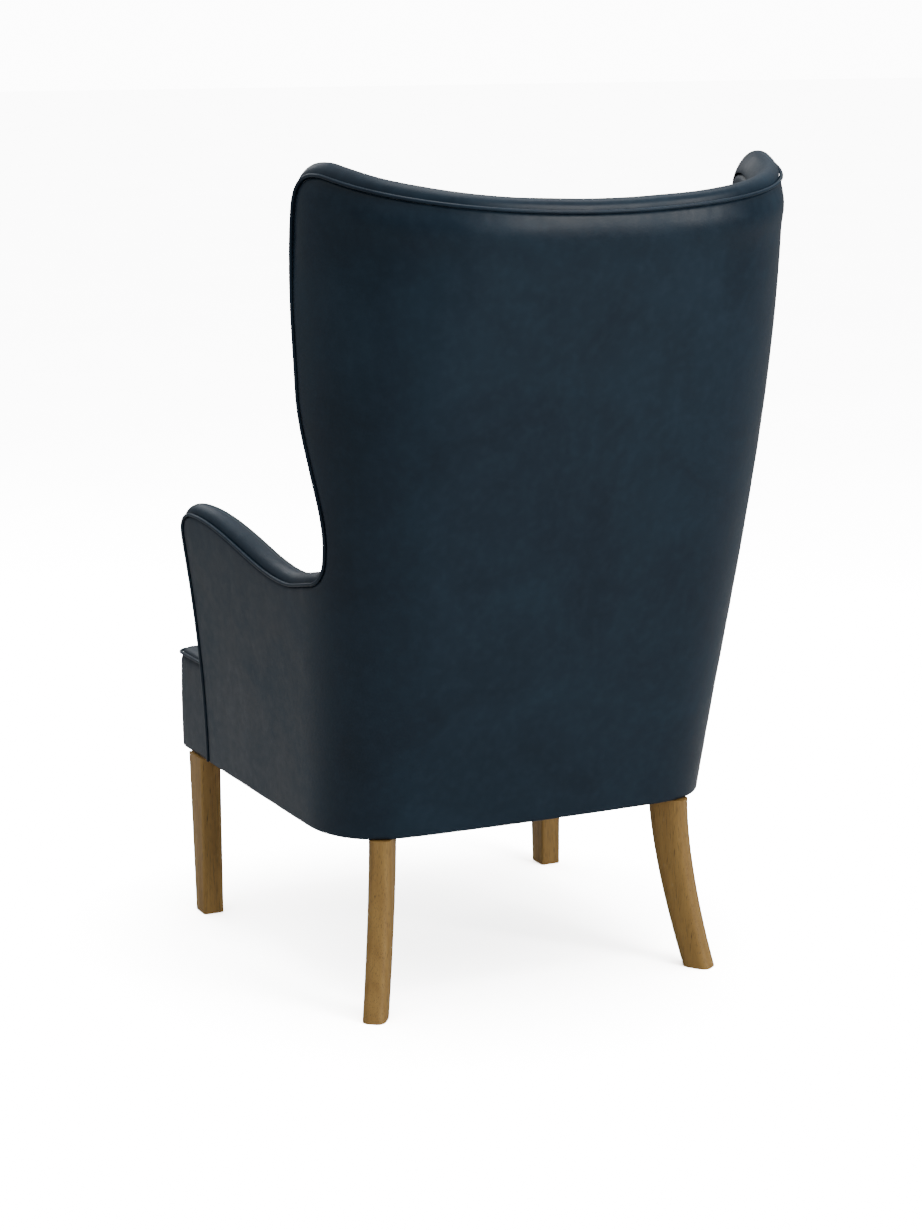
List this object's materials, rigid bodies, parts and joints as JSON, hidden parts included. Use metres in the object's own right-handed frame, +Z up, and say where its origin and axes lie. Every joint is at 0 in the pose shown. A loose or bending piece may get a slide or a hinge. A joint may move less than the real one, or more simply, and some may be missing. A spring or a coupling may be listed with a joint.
{
  "type": "wing chair",
  "caption": "High-back wing armchair with a wrapped leather shell, padded facings along top, wings and arms, sprung seat, tapered front legs and splayed sabre rear legs.",
  "frame": {"origin": "on the floor, on the centre line, under the middle of the overall depth", "axes": "+X to the sitter's left, +Y from front to back, +Z up"},
  "size_m": [0.6873, 0.7826, 1.1038],
  "materials": {
    "leather": "smooth dark navy upholstery leather, semi-gloss",
    "oak": "golden oak, satin oil",
    "beech": "plain sawn beech, unfinished",
    "padding": "rubberised hair and cotton felt",
    "webbing": "woven jute webbing",
    "hessian": "coarse jute cloth",
    "spring_wire": "drawn spring wire",
    "cambric": "black non-woven dust cover"
  },
  "bodies": {
    "root": {"arm_facing_left": "leather", "arm_facing_right": "leather", "arm_padding_left": "padding", "arm_padding_right": "padding", "arm_post_left": "beech", "arm_post_right": "beech", "arm_rail_left": "beech", "arm_rail_right": "beech", "back_padding": "padding", "back_post_left": "beech", "back_post_right": "beech", "back_strap_1": "webbing", "back_strap_2": "webbing", "back_strap_3": "webbing", "back_strap_4": "webbing", "back_strap_5": "webbing", "corner_block_front_left": "beech", "corner_block_front_right": "beech", "corner_block_rear_left": "beech", "corner_block_rear_right": "beech", "crest_rail": "beech", "dust_cover": "cambric", "front_leg_left": "oak", "front_leg_right": "oak", "inside_arm_cover_left": "leather", "inside_arm_cover_right": "leather", "inside_back_cover": "leather", "inside_wing_cover_left": "leather", "inside_wing_cover_right": "leather", "lower_back_rail": "beech", "outside_cover": "leather", "rear_leg_left": "oak", "rear_leg_right": "oak", "seat_border": "leather", "seat_cover": "leather", "seat_front_padding": "padding", "seat_padding": "padding", "seat_rail_front": "beech", "seat_rail_left": "beech", "seat_rail_rear": "beech", "seat_rail_right": "beech", "seat_spring_1": "spring_wire", "seat_spring_2": "spring_wire", "seat_spring_3": "spring_wire", "seat_spring_4": "spring_wire", "seat_spring_5": "spring_wire", "seat_welt": "leather", "shell_welt": "leather", "spring_hessian": "hessian", "top_facing": "leather", "wing_padding_left": "padding", "wing_padding_right": "padding", "wing_post_left": "beech", "wing_post_right": "beech", "wing_rail_left": "beech", "wing_rail_right": "beech"}
  },
  "joints": []
}
